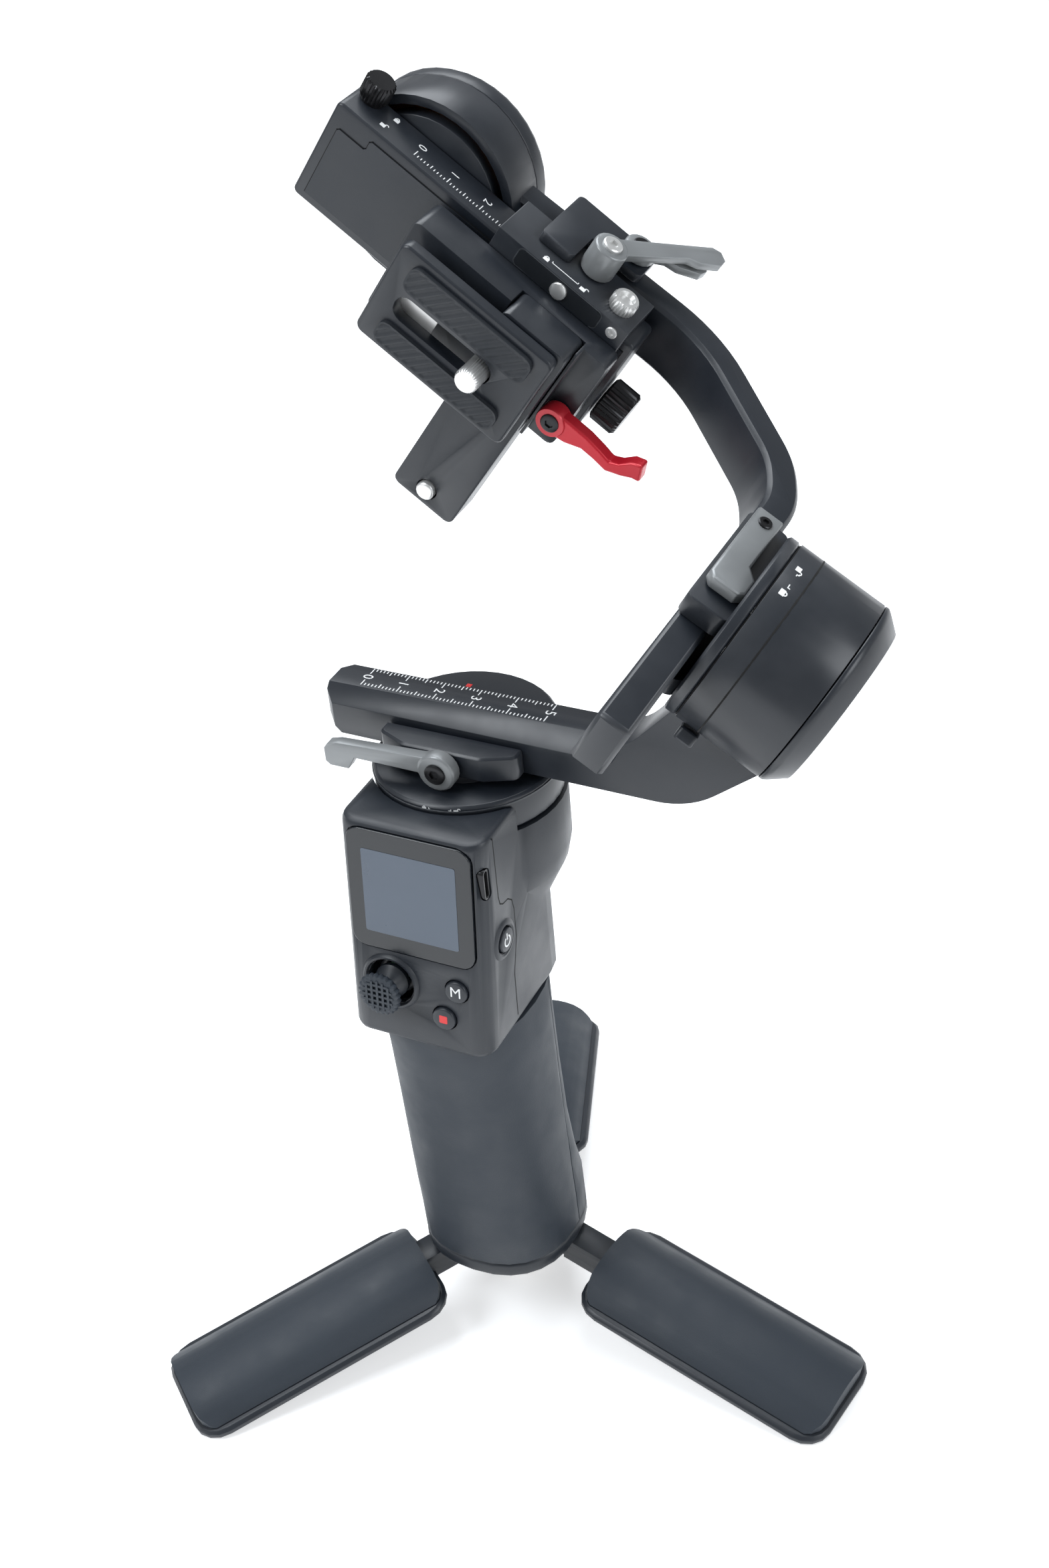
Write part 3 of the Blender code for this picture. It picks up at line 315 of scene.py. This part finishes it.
class Print:
    """Flat marks collected in one thin piece on a surface. place turns (u, v, height) into a point."""

    def __init__(self, place):
        self.bm = bmesh.new()
        self.place = place

    def bar(self, u, v):
        outline = [(u[0], v[0]), (u[1], v[0]), (u[1], v[1]), (u[0], v[1])]
        add_slab(self.bm, outline, -0.02, PRINT_HEIGHT, self.place)

    def shape(self, outline):
        add_slab(self.bm, outline, -0.02, PRINT_HEIGHT, self.place)

    def line(self, points, width):
        """A narrow mark along a run of points."""
        for start, end in zip(points, points[1:]):
            start, end = Vector(start), Vector(end)
            along = (end - start).normalized()
            across = Vector((-along.y, along.x)) * width / 2
            start, end = start - along * width * 0.4, end + along * width * 0.4
            corners = (start + across, start - across, end - across, end + across)
            self.shape([tuple(corner) for corner in corners])

    def word(self, text, size, at, quarter_turns=0):
        corners, faces = text_faces(text, size)
        c, s = ((1, 0), (0, 1), (-1, 0), (0, -1))[quarter_turns % 4]
        spots = [(at[0] + u * c - v * s, at[1] + u * s + v * c) for u, v in corners]
        verts = [self.bm.verts.new(self.place(u, v, PRINT_HEIGHT)) for u, v in spots]
        for face in faces:
            self.bm.faces.new([verts[i] for i in face])

    def scale(self, start, centimetres, row, direction, long=2.6, thick=0.22):
        """Millimetre ticks along u from a row, with longer ones at 5 mm and at 10 mm."""
        for i in range(centimetres * 10 + 1):
            length = long if i % 10 == 0 else long * 0.68 if i % 5 == 0 else long * 0.42
            ends = sorted((row, row + direction * length))
            u = start + i
            self.bar((u - thick / 2, u + thick / 2), ends)

    def padlock(self, at, size, opened):
        u, v = at
        self.shape([(u - size * 0.4, v - size * 0.5), (u + size * 0.4, v - size * 0.5),
                    (u + size * 0.4, v + size * 0.15), (u - size * 0.4, v + size * 0.15)])
        side = size * 0.5 if opened else 0
        outer = arc((u + side, v + size * 0.15), size * 0.3, 0, 180, 8)
        inner = arc((u + side, v + size * 0.15), size * 0.16, 0, 180, 8)
        self.shape(outer + inner[::-1])

    def finish(self, name, body, look, at):
        return add_piece(name, self.bm, body, look, at)


def on_top(height):
    return lambda u, v, h: (u, v, height + h)


def on_front(depth):
    """Marks drawn with u to +X and v to +Z on a face that looks to -Y."""
    return lambda u, v, h: (u, depth - h, v)


def round_z(radius, middle, height):
    """Marks wrapped round a cylinder about Z, centred on an azimuth in degrees."""
    def place(u, v, h):
        a = math.radians(middle) + u / radius
        return ((radius + h) * math.cos(a), (radius + h) * math.sin(a), height + v)
    return place


# ---------------------------------------------------------------- pieces

def head_pieces():
    lit = bmesh.new()
    add_slab(lit, round_box((-12.75, 12.75), (21.0, 44.4), 0.6), 0.0, 0.05, on_front(-0.33))
    add_piece("display_area", lit, "handle", LIT_PANEL, FACE @ shift(SCREEN_SHIFT, 0, 0))
    pane = bmesh.new()
    add_slab(pane, round_box((-16.8, 16.8), (16.2, 49.8), 3.7, 8), -1.0, 0.3, on_front(0))
    glass = add_piece("screen_cover_glass", pane, "handle", LOOKS["screen_glass"],
                      FACE @ shift(SCREEN_SHIFT, 0, 0))
    round_edges(glass, 0.25, 2)
    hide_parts("screen_glass")
    dome = [(0, 0.2), (3.2, 0.2), (3.9, 0.5), (5.0, 1.6), (5.75, 2.2), (5.9, 2.9), (5.6, 3.6), (4.6, 3.9),
            (3.6, 3.75), (2.2, 3.55), (0, 3.4)]
    cap = turned(dome, 96, 24, 0.5, (3, 4, 5, 6, 7))
    for i in range(5):
        across = 1.5 * (i - 2)
        reach = math.sqrt(4.3 ** 2 - across ** 2)
        rib = [(across - 0.3, -reach), (across + 0.3, -reach), (across + 0.3, reach), (across - 0.3, reach)]
        add_slab(cap, rib, 3.2, 4.15)
        add_slab(cap, [(v, u) for u, v in rib][::-1], 3.2, 4.1)
    neck = [(0, -9.0), (2.0, -9.0), (2.6, -7.0), (3.0, -5.6), (4.4, -4.6), (4.5, -3.4), (3.0, -1.6),
            (2.4, -0.5), (3.2, 0.3), (0, 0.3)]
    stem = turned(neck, 40)
    stick = Matrix.Translation(JOINTS["joystick_tilt_left_right"]["pos_m"])
    tilt_back = FACE.to_3x3().to_4x4() @ turn(90, "X")
    top = add_piece("joystick_knurled_cap", cap, "joystick", LOOKS["soft_rubber"],
                    stick @ tilt_back @ shift(0, 0, 7.6))
    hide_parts("joystick_cap")
    add_piece("joystick_stem", stem, "joystick", LOOKS["black_plastic"],
              stick @ tilt_back @ shift(0, 0, 7.6))
    rim = [(6.4, -0.6), (6.4, 0.2), (6.8, 0.8), (7.3, 0.8), (7.8, 0.3), (8.1, -0.3), (8.1, -0.6)]
    collar = turned(rim + rim[:1], 64)
    hole = FACE @ shift(*to_face("joystick_tilt_left_right")) @ shift(0, -4.6, 0) @ turn(90, "X")
    add_piece("joystick_collar", collar, "handle", LOOKS["black_plastic"], hole)
    rim = [(3.7, -1.0), (3.7, 0.25), (4.2, 0.55), (5.0, 0.35), (5.8, -0.4), (5.8, -1.0)]
    boss = turned(rim + rim[:1], 56)
    add_piece("power_button_boss", boss, "handle", LOOKS["black_plastic"],
              Matrix.Translation(JOINTS["power_button_press"]["pos_m"]) @ turn(90, "Y"))
    mark = Print(on_front(-BUTTON_PROUD))
    mark.shape(round_box((-1.1, 1.1), (-1.1, 1.1), 0.3))
    mark.finish("record_mark", "record_button", RED_INK, FACE)
    mode = Print(on_front(-BUTTON_PROUD))
    mode.word("M", 4.2, (0, 0))
    mode.finish("mode_mark", "mode_button", INK,
                FACE @ shift(*(to_face("mode_button_press"))))
    power = Print(lambda u, v, h: (BUTTON_PROUD + h, u, v))
    ring = arc((0, -0.2), 1.6, 120, 420, 20) + arc((0, -0.2), 1.15, 420, 120, 20)
    power.shape(ring)
    power.bar((-0.22, 0.22), (0.2, 2.1))
    power.finish("power_mark", "power_button", INK,
                 Matrix.Translation(JOINTS["power_button_press"]["pos_m"]))


def side_marks():
    """The parting line on the head's right side, which steps round the power button."""
    seam = [(-26.7, 178.5), (-26.7, 161), (-26.2, 158.6), (-24.8, 157.6), (-22.2, 157.2), (-20.4, 155.6),
            (-19.7, 152.5), (-19.8, 144), (-21.2, 139), (-22.6, 134), (-23.0, 121)]
    line = Print(lambda u, v, h: (HEAD_SIDE + h * 0.5, u, v))
    line.line(seam, 0.34)
    line.finish("head_side_seam", "handle", SEAM_AND_GAP_SHADE, PAN)


def to_face(joint):
    """Where a joint stands in the face's frame, in millimetres."""
    return tuple(FACE.inverted() @ Vector(JOINTS[joint]["pos_m"]) / MM)


def pan_pieces():
    arm_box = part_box("pan_arm")
    left = (arm_box[0].x - PAN.translation.x) / MM
    marks = Print(on_top(ARM_TOP))
    zero = left + 8.5
    marks.scale(zero, 5, 5.9, -1, 2.3, 0.3)
    marks.scale(zero, 5, -1.5, 1, 2.3, 0.3)
    for i in range(6):
        marks.word(str(i), 3.9, (zero + 10 * i, 2.2), 3)
    marks.finish("pan_arm_scale", "pan_arm", INK, PAN)
    index = Print(on_top(PAN_CAP_TOP))
    index.bar((-6.7, -5.3), (10.6, 15.0))
    index.finish("pan_index_mark", "pan_rotor", RED_INK, PAN)
    icons = Print(round_z(PAN_RING_RADIUS, -80, 180.55))
    lock_icons(icons, 8.0, 1.4)
    icons.finish("pan_lock_icons", "pan_rotor", INK, PAN)
    pivot = Matrix.Translation(JOINTS["pan_clamp_lever_open"]["pos_m"])
    add_piece("pan_lever_screw", hex_screw(2.7, 0.7), "pan_lever", DARK_STEEL,
              pivot @ turn(90, "X") @ shift(0, 0, 1.9))
    seam = turned([(23.0, 0), (23.85, 0.1), (23.85, 0.5), (23.0, 0.6)], 72)
    add_piece("pan_ring_band", seam, "pan_rotor", LOOKS["black_anodised"],
              PAN @ shift(0, 0, 179.9))


def lock_icons(marks, span, size=1.8, way=1):
    """A closed padlock, a bracket-shaped line and an open padlock, along u or, with way -1, against it."""
    inner, thin = span / 2 - size * 0.8, size * 0.06
    marks.padlock((-way * span / 2, 0), size, False)
    marks.bar((-inner, inner), (-thin, thin))
    marks.bar((-inner, -inner + 2 * thin), (-thin, size * 0.3))
    marks.bar((inner - 2 * thin, inner), (-thin, size * 0.3))
    marks.padlock((way * span / 2, 0), size, True)


def round_x(radius, middle, along):
    """Marks wrapped round a cylinder about X, centred on an angle from Y towards Z."""
    def place(u, v, h):
        a = math.radians(middle) + u / radius
        return (along + v, (radius + h) * math.cos(a), (radius + h) * math.sin(a))
    return place


def roll_pieces():
    icons = Print(round_x(ROLL_MOTOR_RADIUS, 98, 6.2))
    lock_icons(icons, 8.0, 2.0, -1)
    icons.finish("roll_lock_icons", "pan_arm", INK, ROLL)
    pivot = frame_at(JOINTS["roll_clamp_lever_open"]["pos_m"], JOINTS["roll_turn"]["axis"],
                     JOINTS["roll_arm_slide"]["axis"])
    groove_and_edge_highlight = turned([(23.2, 9.2), (23.34, 9.25), (23.34, 9.6), (23.2, 9.65)], 96)
    add_piece("roll_motor_groove", groove_and_edge_highlight, "pan_arm", SEAM_AND_GAP_SHADE, ROLL @ turn(90, "Y"))
    # Painted shade: a near-black ring filling the gap between the rotor disc and the casting, where only shade
    # should show.
    gap_shade = turned([(21.0, 3.13), (22.9, 3.13), (22.9, 3.37), (21.0, 3.37), (21.0, 3.13)], 96)
    add_piece("roll_gap_shade_ring", gap_shade, "pan_arm", SEAM_AND_GAP_SHADE, ROLL @ turn(90, "Y"))
    add_piece("roll_lever_screw", hex_screw(1.7, 0.5), "roll_lever", DARK_STEEL,
              pivot @ shift(-0.9, 0, 1.7))


def ribbed_pad(name, node, x, z, radius):
    """A rubber pad with slanting ribs and rounded corners, standing on the camera plate."""
    columns, rows, pitch = 150, 26, 2.6
    bm = bmesh.new()
    front, back = [], []
    for k in range(rows + 1):
        v = z[0] + (z[1] - z[0]) * k / rows
        near = min(v - z[0], z[1] - v, radius)
        inset = radius - math.sqrt(radius ** 2 - (radius - near) ** 2)
        front_row, back_row = [], []
        for i in range(columns + 1):
            u = x[0] + inset + (x[1] - x[0] - 2 * inset) * i / columns
            edge = min(u - x[0] - inset, x[1] - inset - u, v - z[0], z[1] - v)
            wave = max(0, math.cos(2 * math.pi * (u - 0.8 * v) / pitch))
            height = 0.75 + (0.35 * wave ** 0.5 if edge > 0.7 else 0.25)
            front_row.append(bm.verts.new((u, PLATE_FRONT - RIB_LIFT - height, v)))
            back_row.append(bm.verts.new((u, PLATE_FRONT - 0.05, v)))
        front.append(front_row)
        back.append(back_row)
    for grid in (front, back):
        for k in range(rows):
            for i in range(columns):
                bm.faces.new((grid[k][i], grid[k][i + 1], grid[k + 1][i + 1], grid[k + 1][i]))
    rim = [(k, 0) for k in range(rows)] + [(rows, i) for i in range(columns)]
    rim += [(k, columns) for k in range(rows, 0, -1)] + [(0, i) for i in range(columns, 0, -1)]
    for (k, i), (m, j) in zip(rim, rim[1:] + rim[:1]):
        bm.faces.new((front[k][i], front[m][j], back[m][j], back[k][i]))
    made = add_piece(name, bm, "plate", PAD_RUBBER, TILT, 60)
    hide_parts(node)


def mount_pieces():
    ribbed_pad("ribbed_pad_upper", "grip_pad_upper", (14.5, 50.5), (3.6, 11.2), 2.5)
    ribbed_pad("ribbed_pad_lower", "grip_pad_lower", (14.5, 50.5), (-13.8, -7.2), 2.5)
    profile = [(0, 0), (3.0, 0), (3.4, 0.4), (3.4, 3.0), (3.0, 3.5), (2.2, 3.5), (1.7, 2.4), (0, 2.4)]
    add_piece("bracket_clamp_screw", turned(profile, 96, 24, 0.35, (2, 3)), "bracket",
              LOOKS["steel"], TILT @ shift(56.4, -4.6, BRACKET_TOP))
    add_piece("bracket_set_screw", hex_screw(1.5, 0.5), "bracket", LOOKS["steel"],
              TILT @ shift(58.6, BRACKET_FRONT, 16.8) @ turn(90, "X"))
    strip = bmesh.new()
    add_slab(strip, round_box((13.6, 25.5), (-6.6, 2.7), 1.0), 0, 0.35, on_front(-25.9))
    add_piece("screw_retainer_strip", strip, "plate", LOOKS["steel"], TILT)
    marks = Print(on_top(RAIL_TOP))
    marks.scale(-4.3, 3, -4.6, 1, 2.0)
    for i in range(4):
        marks.word(str(i), 3.3, (-4.3 + 10 * i, -0.4), 3)
    marks.finish("rail_scale", "tilt_rotor", INK, TILT)
    locks = Print(on_top(RAIL_TOP))
    locks.padlock((-14.5, -3.2), 1.8, True)
    locks.padlock((-13.2, 1.4), 1.8, False)
    locks.finish("rail_lock_icons", "tilt_rotor", INK, TILT)
    rail = bmesh.new()
    panel = [(-22.6, -12.4), (63.0, -12.4), (63.0, 12.0), (-13.6, 12.0), (-14.2, 11.4), (-14.2, 9.4),
             (-14.8, 8.8), (-22.0, 8.8), (-22.6, 8.2)]
    add_slab(rail, panel, 0, 0.3, on_front(RAIL_FRONT))
    add_piece("rail_inset_panel", rail, "tilt_rotor", LOOKS["black_plastic"], TILT)
    outline = Print(on_front(RAIL_FRONT))
    outline.line(panel + panel[:1], 0.5)
    outline.finish("rail_panel_groove", "tilt_rotor", SEAM_AND_GAP_SHADE, TILT)
    face = round_box((30.0, 54.5), (14.15, 18.9), 1.2)
    inset = bmesh.new()
    add_slab(inset, face, 0, 0.25, on_front(BRACKET_FRONT))
    add_piece("bracket_face_plate", inset, "bracket", DARK_FACE, TILT)
    # Painted highlight: a pale line round the bracket's face plate where its edge catches the light.
    groove_and_edge_highlight = Print(on_front(BRACKET_FRONT))
    groove_and_edge_highlight.line(round_box((29.8, 54.7), (13.95, 19.1), 1.3) + [(54.7, 15.25)], 0.3)
    groove_and_edge_highlight.finish("bracket_face_edge_highlight", "bracket", EDGE_LIGHT, TILT)
    top = Print(on_top(BRACKET_TOP))
    lock_icons(top, 11.0, 1.9)
    top.finish("bracket_lock_icons", "bracket", INK, TILT @ shift(41.5, -8.2, 0))
    aim = Print(on_front(BRACKET_FRONT))
    aim.shape(round_box((-1.5, 0.9), (-1.3, 1.3), 0.3))
    aim.shape([(1.5, -1.5), (3.3, 0), (1.5, 1.5)])
    aim.finish("camera_direction_mark", "bracket", INK, TILT @ shift(59.3, 0, 1.6))
    knurled_pieces()
    for body, look in (("bracket_lever_upper", LOOKS["steel"]), ("bracket_lever_lower", DARK_STEEL)):
        add_piece(body + "_screw", hex_screw(2.5, 0.8), body, look,
                  on_mount(body + "_open") @ shift(0, 0, 1.2))
    pivot = on_mount("plate_lock_lever_open")
    add_piece("plate_lever_screw", hex_screw(2.4, 0.5), "plate_lever", DARK_STEEL,
              pivot @ shift(0, -2.2, 0) @ turn(90, "X"))
    red_lever(pivot)


def on_mount(joint):
    """A frame at a joint of the camera mount, turned like the rail."""
    return frame_at(JOINTS[joint]["pos_m"], JOINTS["bracket_slide"]["axis"], JOINTS["tilt_turn"]["axis"])


def knurled_pieces():
    """The lock knob, the rail's end knob and the camera screw, in place of their plain CAD solids."""
    profile = [(0, 0), (3.3, 0), (3.5, 0.6), (3.9, 1.2), (3.9, 5.4), (3.3, 6.0), (0, 6.0)]
    knob = add_piece("tilt_lock_knurled_knob", turned(profile, 96, 24, 0.45, (3, 4)), "tilt_lock",
                     DARK_STEEL, on_mount("tilt_lock_slide") @ shift(0, 0, 0.1))
    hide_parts("tilt_lock_slider")
    profile = [(0, 0), (5.2, 0), (6.0, 0.6), (6.0, 6.8), (5.2, 7.6), (0, 7.6)]
    end = add_piece("rail_knurled_knob", turned(profile, 120, 30, 0.5, (2, 3)), "rail_knob",
                    DARK_STEEL, on_mount("rail_knob_turn") @ turn(90, "Y") @ shift(0, 0, 0.4))
    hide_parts("rail_end_knob")
    profile = [(0, 0), (3.1, 0), (3.1, 15.0), (3.15, 15.6), (3.15, 18.0), (2.7, 18.6), (0, 18.8)]
    screw = add_piece("camera_screw_knurled", turned(profile, 96, 30, 0.25, (2, 3, 4)), "camera_screw",
                      LOOKS["steel"],
                      on_mount("camera_screw_turn") @ shift(0, -17.3, 0) @ turn(90, "X"))
    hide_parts("camera_screw")


def red_lever(pivot):
    """The slender S-shaped lever with a ring round its screw and a thumb pad at its end."""
    spine = [(0, 0), (5, 0.2), (9.5, 0.8), (13.5, 0.2), (17.0, -0.6), (20.0, 0.8), (22.5, 2.9), (25.0, 3.6)]
    width = [3.4, 3.0, 2.0, 1.7, 1.6, 1.7, 2.3, 2.4]
    bm = bmesh.new()
    upper, lower = [], []
    for i, ((u, v), half) in enumerate(zip(spine, width)):
        before, after = Vector(spine[max(i - 1, 0)]), Vector(spine[min(i + 1, len(spine) - 1)])
        along = (after - before).normalized()
        across = Vector((-along.y, along.x)) * half
        upper.append((u + across.x, v + across.y))
        lower.append((u - across.x, v - across.y))
    add_slab(bm, lower + upper[::-1], -1.9, 1.9)
    lever = add_piece("plate_lever_blade", bm, "plate_lever", LOOKS["red_anodised"],
                      pivot @ turn(90, "X") @ turn(4, "Z"))
    round_edges(lever, 0.7, 3)
    rim = [(2.3, -2.2), (3.7, -2.2), (3.9, -1.9), (3.9, 1.9), (3.7, 2.3), (2.3, 2.3)]
    hub = add_piece("plate_lever_ring", turned(rim + rim[:1], 48), "plate_lever",
                    LOOKS["red_anodised"], pivot @ turn(90, "X"))
    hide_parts("plate_lock_lever")
    core = turned([(0, -2.1), (2.4, -2.1), (2.4, 2.0), (0, 2.0)], 32)
    add_piece("plate_lever_pivot", core, "plate_lever", DARK_STEEL, pivot @ turn(90, "X"))


def round_edges(piece, width, segments):
    bevel = piece.modifiers.new("round", "BEVEL")
    bevel.width = width * MM
    bevel.segments = segments
    bevel.limit_method = "ANGLE"
    bevel.angle_limit = math.radians(40)
    bevel.harden_normals = True
    piece.data.shade_smooth()


def stage():
    """A pale floor, soft light from large panels, and the camera."""
    bm = bmesh.new()
    add_slab(bm, [(-3000, -3000), (3000, -3000), (3000, 3000), (-3000, 3000)], -10, 0)
    bmesh.ops.scale(bm, vec=(MM, MM, MM), verts=bm.verts)
    mesh = bpy.data.meshes.new("floor")
    bm.to_mesh(mesh)
    bm.free()
    floor = bpy.data.objects.new("floor", mesh)
    pale = bpy.data.materials.new("pale_floor")
    pale.use_nodes = True
    shader = pale.node_tree.nodes["Principled BSDF"]
    shader.inputs["Base Color"].default_value = (0.9, 0.905, 0.91, 1)
    shader.inputs["Roughness"].default_value = 0.6
    shader.inputs["Emission Color"].default_value = (1, 1, 1, 1)
    shader.inputs["Emission Strength"].default_value = 0.5
    mesh.materials.append(pale)
    bpy.context.scene.collection.objects.link(floor)
    world = bpy.data.worlds.new("studio")
    world.use_nodes = True
    sky = world.node_tree.nodes["Background"]
    sky.inputs["Color"].default_value = (0.95, 0.975, 1.0, 1)
    sky.inputs["Strength"].default_value = 0.4
    bpy.context.scene.world = world
    for name, spot, aim, size, power in (
            ("overhead", (-0.25, 0.35, 1.25), (0, 0, 0.2), 0.9, 15),
            ("front_high", (-0.6, -0.75, 1.1), (0, 0, 0.2), 0.5, 9),
            ("right", (1.2, -0.1, 0.7), (0, 0, 0.2), 0.6, 6)):
        light = bpy.data.lights.new(name, "AREA")
        light.size = size
        light.energy = power
        light.color = (0.92, 0.96, 1.0)
        lamp = bpy.data.objects.new(name, light)
        lamp.location = spot
        lamp.rotation_euler = (Vector(aim) - Vector(spot)).to_track_quat("-Z", "Y").to_euler()
        bpy.context.scene.collection.objects.link(lamp)
    lens = bpy.data.cameras.new("camera")
    lens.lens = 50.67
    lens.sensor_width = 36
    lens.clip_start = 0.01
    camera = bpy.data.objects.new("camera", lens)
    right, up = Vector((0.89844, 0.43231, -0.07688)), Vector((-0.19312, 0.54628, 0.81504))
    camera.matrix_world = frame_at((0.2125, -0.3936, 0.4855), right, up)
    bpy.context.scene.collection.objects.link(camera)
    bpy.context.scene.camera = camera


bpy.context.scene.view_settings.view_transform = "Standard"
stage()
dress_cad_nodes()
head_pieces()
side_marks()
pan_pieces()
roll_pieces()
mount_pieces()
